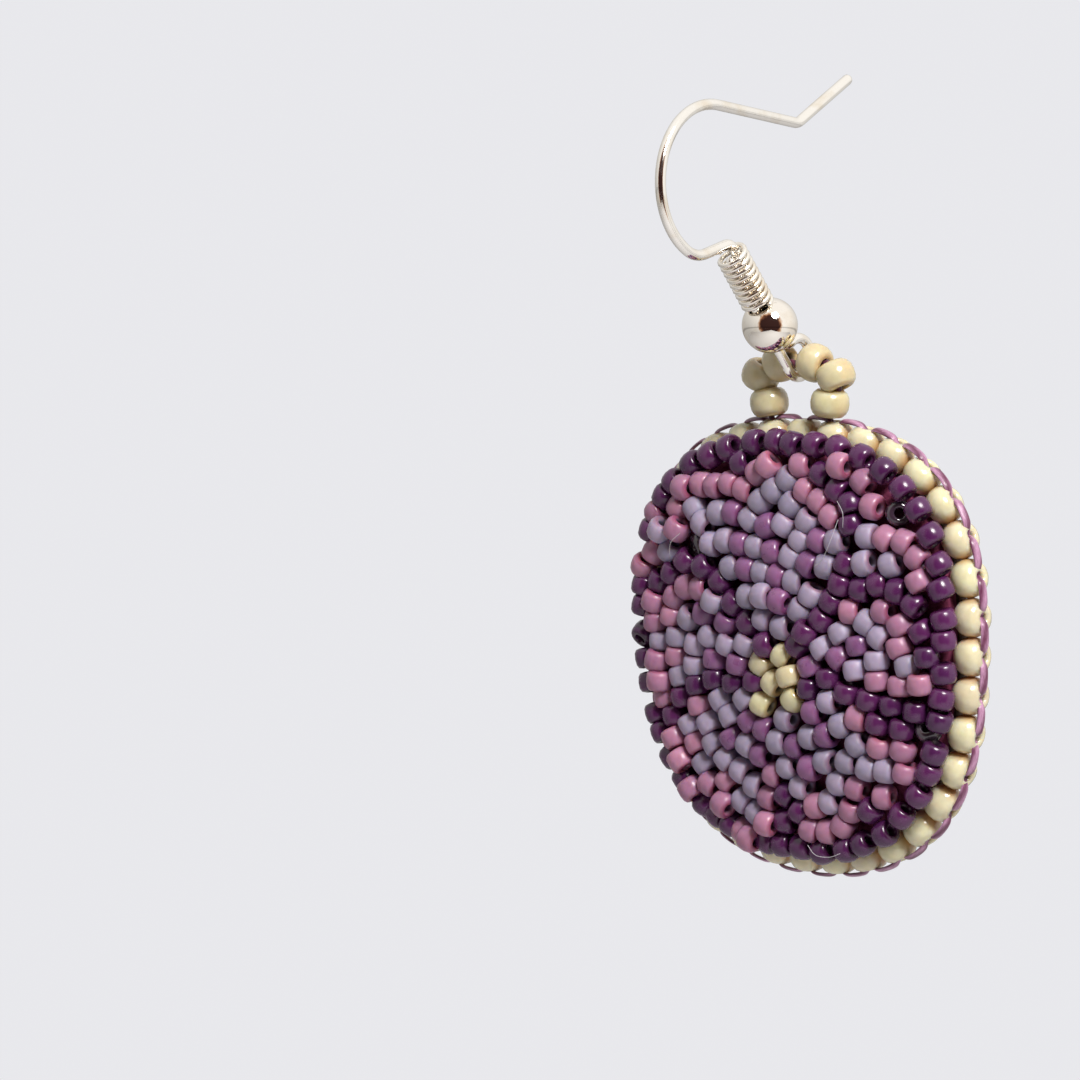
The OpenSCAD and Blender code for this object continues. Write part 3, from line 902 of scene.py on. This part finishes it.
def strung_along(points, holes):
    """Even places along a line of straight stretches, each with the angle of its bead's hole."""
    if len(points) == 1:
        return [(*points[0], hole_way(*points[0]) if holes == "round" else 0.0)]
    needs = []
    for (x0, z0), (x1, z1) in zip(points, points[1:]):
        turn = math.atan2(z1 - z0, x1 - x0)
        turn = turn - hole_way((x0 + x1) / 2, (z0 + z1) / 2) if holes == "round" else 0
        needs.append(math.dist((x0, z0), (x1, z1)) / bead_reach(turn))
    count = max(len(points) - 1, round(sum(needs) / 2))
    out = []
    for i in range(count + 1):
        run = sum(needs) * i / count
        k = 0
        while k < len(needs) - 1 and run > needs[k]:
            run -= needs[k]
            k += 1
        (x0, z0), (x1, z1) = points[k], points[k + 1]
        s = min(1, run / needs[k])
        x, z = x0 + (x1 - x0) * s, z0 + (z1 - z0) * s
        out.append((x, z, hole_way(x, z) if holes == "round" else math.atan2(z1 - z0, x1 - x0)))
    return out


def rim_inset(x, z):
    """How far in the row along the rim lies: most at the two left corners."""
    r = math.hypot(x, z)
    corner = max(0, (abs(z) - x) / r - CORNER_FROM)
    return (RIM_INSET + (RIM_RIGHT * x - RIM_BOTTOM * z) / r
            + (RIM_CORNER - RIM_LOWER * z / r) * corner)


def bead_reach(turn):
    """From a bead's middle to its side, in mm, at an angle from its hole."""
    return 0.5 / np.hypot(np.cos(turn) / SEED_H, np.sin(turn) / SEED_D)


def crowd(spots, lies, others, other_lies):
    """Gap from each place to each of the others, as a share of what the two beads need."""
    d = others[None, :, :] - spots[:, None, :]
    line = np.arctan2(d[..., 1], d[..., 0])
    need = bead_reach(line - lies[:, None]) + bead_reach(line - other_lies[None, :])
    near = np.hypot(d[..., 0], d[..., 1]) / need
    if d.shape[2] == 3:
        near = np.hypot(near, d[..., 2] / SEED_D)
    return d, near


def felt_way(x, z, step=0.05):
    """The way that the felt faces, from its slope over a short step."""
    slope_x = (felt_front(x + step, z) - felt_front(x - step, z)) / (2 * step)
    slope_z = (felt_front(x, z + step) - felt_front(x, z - step)) / (2 * step)
    return Vector((-slope_x, -1, -slope_z)).normalized()


def relax(beads):
    """Pushes crowded beads apart and up; the strings hold their line better than the filling."""
    spots = np.array([b[:3] for b in beads])
    give = np.array([[b[4], b[4], 1] for b in beads])
    lies = np.array([b[5] for b in beads])
    homes = spots.copy()
    homes[:, 2] = 0
    for _ in range(RELAX_ROUNDS):
        d, near = crowd(spots, lies, spots, lies)
        np.fill_diagonal(near, np.inf)
        push = np.clip(1 - near, 0, None) / np.maximum(near, 0.2)
        spots -= (d * push[..., None]).sum(axis=1) * PUSH * give
        spots += (homes - spots) * PULL * (1 - give)
        spots[:, 2] = np.clip(spots[:, 2] * SETTLE, 0, HIGHEST)
        edges = np.array([outline_r(math.degrees(math.atan2(z, x))) - rim_inset(x, z) + SLACK
                          for x, z, _ in spots])
        spots[:, :2] *= np.minimum(1, edges / np.hypot(spots[:, 0], spots[:, 1]))[:, None]
    for b, p in zip(beads, spots):
        b[:3] = map(float, p)


rng = random.Random(15)
# Each bead: place, height over the felt, glass, how freely it gives way, angle of its hole
beads = []
for colour, holes, strings in STRINGS:
    for points in strings:
        for x, z, lie in strung_along(points, holes):
            beads.append([x, z, rng.uniform(0, STAND_UP), colour, STRING_GIVE,
                          lie + rng.gauss(0, ASKEW)])
for i in range(RIM_BEADS):
    a = 90 + 360 * (i + 0.5) / RIM_BEADS + rng.uniform(-1, 1)
    if RIM_BREAK[0] < a < RIM_BREAK[1]:
        continue
    t = math.radians(a)
    r = outline_r(a) - rim_inset(math.cos(t), math.sin(t)) + rng.uniform(-RIM_STRAY, RIM_STRAY)
    beads.append([r * math.cos(t), r * math.sin(t), 0, "purple", RIM_GIVE,
                  t + math.pi / 2 + rng.gauss(0, RIM_ASKEW)])
relax(beads)

# More beads fill what is left, purple by the purple lines and lilac elsewhere: each goes to the
# widest gap
grid = [[v * GRID + rng.uniform(-GRID_STRAY, GRID_STRAY) for v in spot]
        for spot in itertools.product(*(range(-half, half + 1) for half in GRID_HALF))]
grid = np.array([(x, z) for x, z in grid
                 if math.hypot(x, z) < outline_r(math.degrees(math.atan2(z, x))) - FILL_INSET])
grid_lies = np.array([hole_way(*p) for p in grid])
strung = len(beads)
for _ in range(3):
    while True:
        taken = np.array([b[:2] for b in beads])
        _, near = crowd(grid, grid_lies, taken, np.array([b[5] for b in beads]))
        gaps = near.min(axis=1)
        widest = int(gaps.argmax())
        if gaps[widest] < CROWDING:
            break
        x, z = map(float, grid[widest])
        beside = beads[int(near[widest, :strung].argmin())][3]
        by_rim = outline_r(math.degrees(math.atan2(z, x))) - math.hypot(x, z) < RIM_BAND
        if by_rim or beside in ("purple", "smoke"):
            colour = "purple"
        else:
            colour = rng.choice(("lilac", "lilac", "mauve"))
        beads.append([x, z, rng.uniform(0, STAND_UP), colour, FILL_GIVE,
                      hole_way(x, z) + rng.gauss(0, ASKEW)])
    relax(beads)

# Each glass's second colour is the painted shade at the ends of its beads, where they meet their
# neighbours
GLASSES = {
    "purple": bead_glass("purple_glass", (0.084, 0.014, 0.082), (0.04, 0.005, 0.03),
                         rough=0.25, spread=0.2, coat=0.2, bump=0.06),
    "pink": bead_glass("pink_glass", (0.42, 0.19, 0.31), (0.27, 0.05, 0.11),
                       rough=0.36, spread=0.16, coat=0.1, milk=0.45),
    "mauve": bead_glass("mauve_glass", (0.235, 0.092, 0.225), (0.14, 0.03, 0.11),
                        rough=0.3, spread=0.16, coat=0.15, milk=0.35),
    "lilac": bead_glass("lilac_glass", (0.365, 0.305, 0.43), (0.2, 0.08, 0.15),
                        rough=0.42, spread=0.16, milk=0.45),
    "cream": cream,
    "smoke": bead_glass("smoke_glass", (0.06, 0.04, 0.06), (0.04, 0.02, 0.035),
                        rough=0.12, spread=0.1, coat=0.8),
}

groups = {colour: ([], [], []) for colour in GLASSES}
for x, z, height, colour, _, lie in beads:
    normal = felt_way(x, z)
    way = Vector((math.cos(lie), 0, math.sin(lie)))
    way = (way - normal * way.dot(normal)).normalized()
    way = (way + normal * rng.gauss(0, TILT)).normalized()
    if colour == "smoke" or min(math.dist((x, z), p) for p in OPEN_AT) < OPEN_WITHIN:
        way = (normal + way * OPEN_LEAN).normalized()
    lift = SEED_D / 2 - SEWN_IN + (-SUNK if colour == "smoke" else height)
    spot = Vector((x, -felt_front(x, z), z)) + normal * lift
    places, ways, shades = groups[colour]
    places.append(on_panel(*spot))
    ways.append(hanging_way(*way))
    shades.append(rng.uniform(-1, 1))
for i, (colour, (places, ways, shades)) in enumerate(groups.items()):
    field = string_beads(f"seed_beads_{colour}", places, ways, shades, GLASSES[colour],
                         Diameter=SEED_D * MM, Length=SEED_LEN * MM, Hole=SEED_HOLE * MM,
                         Lip=0.3, Squareness=0.76, Sides=14, Profile=12, Seed=i)
    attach(field, "drop")
    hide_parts("bead_field")


# Edging beads. Cream glass seed beads, size 11/0, sewn side by side through the rim in brick
# stitch, so that their holes point to the panel's middle.
EDGE_BEADS = 35
EDGE_BEAD_D = 2.18
EDGE_BEAD_H = 1.72
EDGE_HOLE = 0.44
EDGE_MID = 0.98
EDGE_TILT = 0.05


def outline(a, inset):
    r = outline_r(a) - inset
    return Vector((r * math.cos(math.radians(a)), r * math.sin(math.radians(a))))


def outward(a):
    d = outline(a + 1, 0) - outline(a - 1, 0)
    return Vector((d.y, -d.x)).normalized()


run_table = [(0.0, 90.0)]
for i in range(180):
    step = (outline(92 + 2 * i, EDGE_MID) - outline(90 + 2 * i, EDGE_MID)).length
    run_table.append((run_table[-1][0] + step, 92.0 + 2 * i))


def rim_angle(k):
    """Angle of place k of EDGE_BEADS, counted from the top; k may be a fraction."""
    run = (k % EDGE_BEADS) * run_table[-1][0] / EDGE_BEADS
    return float(np.interp(run, [r for r, _ in run_table], [a for _, a in run_table]))


rng = random.Random(21)
# Edging glass: amber painted shade where neighbouring beads touch side by side, a little at their ends
edge_glass = bead_glass("cream_edge_glass", (0.74, 0.67, 0.46), (0.52, 0.25, 0.07), rough=0.2,
                        spread=0.05, coat=0.5, milk=0.5, glow=CREAM_GLOW, ends=0.15, touching=0.9,
                        bore=0.1)
places, ways, shades = [], [], []
for k in range(EDGE_BEADS):
    a = rim_angle(k)
    p, out = outline(a, EDGE_MID), outward(a)
    places.append(on_panel(p.x, 0, p.y))
    ways.append(hanging_way(out.x, rng.gauss(0, EDGE_TILT), out.y))
    shades.append(rng.uniform(-1, 1))
edge_beads = string_beads("edge_beads_cream", places, ways, shades, edge_glass,
                          Diameter=EDGE_BEAD_D * MM, Length=EDGE_BEAD_H * MM, Hole=EDGE_HOLE * MM,
                          Lip=0.16, Squareness=0.97, Sides=26, Profile=14, Unevenness=0.02, Seed=5)
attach(edge_beads, "drop")
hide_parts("edge_beads")


# Edging thread. Lavender satin floss, a little flattened, that bridges from hole to hole over
# the beads' outer ends and dips into each hole.
FLOSS_W = 0.26
FLOSS_T = 0.1
# How far the floss's broad side turns to the front
FLOSS_TURN = 0.35
# Share of the way to the next hole, mm in from the outline and to the front, swell of the floss
STITCH = [
    (0, 0.5, 0.0, 0.9), (0.1, 0.26, 0.06, 0.8), (0.24, 0.05, 0.14, 0.95), (0.5, 0.01, 0.14, 1.0),
    (0.76, 0.05, 0.14, 0.95), (0.9, 0.26, 0.06, 0.8),
]

knots, faces_out, swells = [], [], []
for k in range(EDGE_BEADS):
    for part, inset, fore, swell in STITCH:
        a = rim_angle(k + part)
        p, out = outline(a, inset), outward(a)
        knots.append(on_panel(p.x, -fore, p.y))
        faces_out.append(hanging_way(out.x, -FLOSS_TURN, out.y))
        swells.append(Vector((swell, 0)))
line, facing, widths = (eased(values, steps=4, closed=True) for values in (knots, faces_out, swells))
edge_thread = tube("edge_thread_floss", line, FLOSS_W * MM, FLOSS_T * MM, sides=12, closed=True,
                   facing=facing, swell=[v.x for v in widths])
edge_thread.data.materials.append(
    thread("lavender_floss", (0.55, 0.29, 0.45), (0.12, 0.02, 0.06), rough=0.3, count=2, slant=0.3))
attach(edge_thread, "drop")
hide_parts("edge_thread")


# Stray fibres. A few hair-fine ends of clear nylon that stand out between the beads.
FIBRE_R = 0.016
# Points: across, up, and out from the panel's middle plane
FIBRES = [
    [(3.1, 4.6, 3.5), (4.0, 5.0, 3.9), (4.7, 6.0, 4.0), (5.1, 7.2, 3.7)],
    [(5.4, 6.8, 3.7), (5.6, 7.6, 3.9), (5.0, 8.2, 3.6)],
    [(-7.3, 5.0, 3.4), (-6.9, 5.7, 3.7), (-6.3, 6.2, 3.6)],
    [(1.3, -10.8, 2.9), (1.9, -11.3, 3.0), (2.7, -11.4, 2.8), (3.3, -11.2, 2.6)],
]
fibre_mat, tree, shader = material("clear_fibre")
glint = noise(tree, in_mesh(tree), 2500.0)
feed(tree, shader, {
    "Base Color": (0.75, 0.72, 0.76, 1),
    "Roughness": remap(tree, glint, 0.3, 0.7, 0.1, 0.35),
    "Alpha": 0.7,
})
for i, points in enumerate(FIBRES):
    line = eased([on_panel(x, -out, z) for x, z, out in points], steps=6)
    fibre = tube(f"fibre_{i + 1}", line, FIBRE_R * MM, sides=6)
    fibre.data.materials.append(fibre_mat)
    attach(fibre, "drop")


# Floor. A plain pale sheet well below the earring.
FLOOR_SIDE = 0.6
FLOOR_Z = -0.3
corners = [(-1, -1), (1, -1), (1, 1), (-1, 1)]
floor = new_piece("floor", [(x * FLOOR_SIDE, y * FLOOR_SIDE, FLOOR_Z) for x, y in corners],
                  [(0, 1, 2, 3)])
floor_mat, tree, shader = material("pale_paper")
feed(tree, shader, {"Base Color": (0.78, 0.78, 0.8, 1), "Roughness": 0.9})
floor.data.materials.append(floor_mat)


# Camera. A long lens a little above the panel's middle, from the right front.
CAMERA_AZ = 41.8
CAMERA_EL = 2.0
CAMERA_D = 400.0
SENSOR = 36
# Width of the picture, its scale at the eye of the hook, and the pixel where the thread in it lies
PIXELS = 1080
PX_PER_MM = 18.3
HINGE_PX = (798, 367)

az, el = math.radians(CAMERA_AZ), math.radians(CAMERA_EL)
back = Vector((math.sin(az) * math.cos(el), -math.cos(az) * math.cos(el), math.sin(el)))
right = Vector((math.cos(az), math.sin(az), 0))
up = back.cross(right)
focal = PX_PER_MM * CAMERA_D
eye = (upright(hinge) / MM + back * CAMERA_D - right * (HINGE_PX[0] - PIXELS / 2) / focal * CAMERA_D
       - up * (PIXELS / 2 - HINGE_PX[1]) / focal * CAMERA_D)
camera_data = bpy.data.cameras.new("camera")
camera_data.sensor_width = SENSOR
camera_data.lens = focal * SENSOR / PIXELS
camera_data.clip_start = 0.01
camera_data.clip_end = 20
camera = bpy.data.objects.new("camera", camera_data)
bpy.context.scene.collection.objects.link(camera)
camera.matrix_world = Matrix((right, up, back)).transposed().to_4x4()
camera.location = eye * MM
bpy.context.scene.camera = camera


# Light. A tent of white paper all round, brightest at the upper right and open on the camera's
# side to a dark room, with a grey band across it, and two lamps at its right side.
BRIGHT_SIDE = Vector((0.62, -0.08, 0.78))
BAND_Z = -0.13
# Brightness of the tent, as it shows in the silver and as it lights matt surfaces
TENT, TENT_SOFT = 1.0, 0.26
# The opening as an angle from the camera's direction, half the width of its blurred edge, and how
# far the paper's folds shift that edge
OPENING, EDGE_BLUR = 45, 8
FOLDS = 0.3


def window(name, where, size, watts, tint):
    data = bpy.data.lights.new(name, "AREA")
    data.shape = "DISK"
    data.size = size
    data.energy = watts
    data.color = tint
    lamp = bpy.data.objects.new(name, data)
    bpy.context.scene.collection.objects.link(lamp)
    lamp.location = where
    lamp.rotation_euler = (upright(hinge) - Vector(where)).to_track_quat("-Z", "Y").to_euler()


window("window_right", (0.6, -0.25, 0.55), size=0.4, watts=8.0, tint=(1.0, 0.98, 0.95))
window("window_glint", (0.33, -0.18, 0.3), size=0.04, watts=0.8, tint=(1.0, 1.0, 1.0))

world = bpy.data.worlds.new("paper_tent")
world.use_nodes = True
bpy.context.scene.world = world
tree = world.node_tree
plain = tree.nodes["Background"]
plain.inputs["Color"].default_value = (0.81, 0.81, 0.84, 1)
seen = node(tree, "ShaderNodeTexCoord").outputs["Generated"]


def towards(direction):
    made = node(tree, "ShaderNodeVectorMath", {0: seen, 1: direction}, operation="DOT_PRODUCT")
    return made.outputs["Value"]


folds = maths(tree, "SUBTRACT", noise(tree, seen, 4.0, 3.0), 0.5)
facing = maths(tree, "MULTIPLY_ADD", folds, FOLDS, towards(back))
opening = remap(tree, facing, *(math.cos(math.radians(OPENING + side * EDGE_BLUR)) for side in (1, -1)))
# From the paper over its warm shadow to the dark of the room
room = node(tree, "ShaderNodeValToRGB", {0: opening})
ramp = room.color_ramp.elements
ramp[0].color = (1.0, 0.985, 0.96, 1)
ramp[1].color = (0.045, 0.02, 0.018, 1)
ramp.new(0.4).color = (0.62, 0.38, 0.24, 1)
ramp.new(0.6).color = (0.22, 0.09, 0.05, 1)
paper = remap(tree, towards(BRIGHT_SIDE), -0.8, 0.6, 0.42, 1.0)
height = parts(tree, seen)["Z"]
from_band = maths(tree, "ABSOLUTE", maths(tree, "SUBTRACT", height, BAND_Z))
band = remap(tree, from_band, 0.02, 0.05, 0.6, 1.0)
rays = node(tree, "ShaderNodeLightPath").outputs
soft = maths(tree, "MULTIPLY_ADD", rays["Is Diffuse Ray"], TENT_SOFT - TENT, TENT)
strength = maths(tree, "MULTIPLY", maths(tree, "MULTIPLY", paper, band), soft)
lit = node(tree, "ShaderNodeBackground", {"Color": room.outputs[0], "Strength": strength})
pick = node(tree, "ShaderNodeMixShader",
            {0: rays["Is Camera Ray"], 1: lit.outputs[0], 2: plain.outputs[0]})
tree.links.new(pick.outputs[0], tree.nodes["World Output"].inputs["Surface"])
bpy.context.scene.view_settings.view_transform = "Standard"
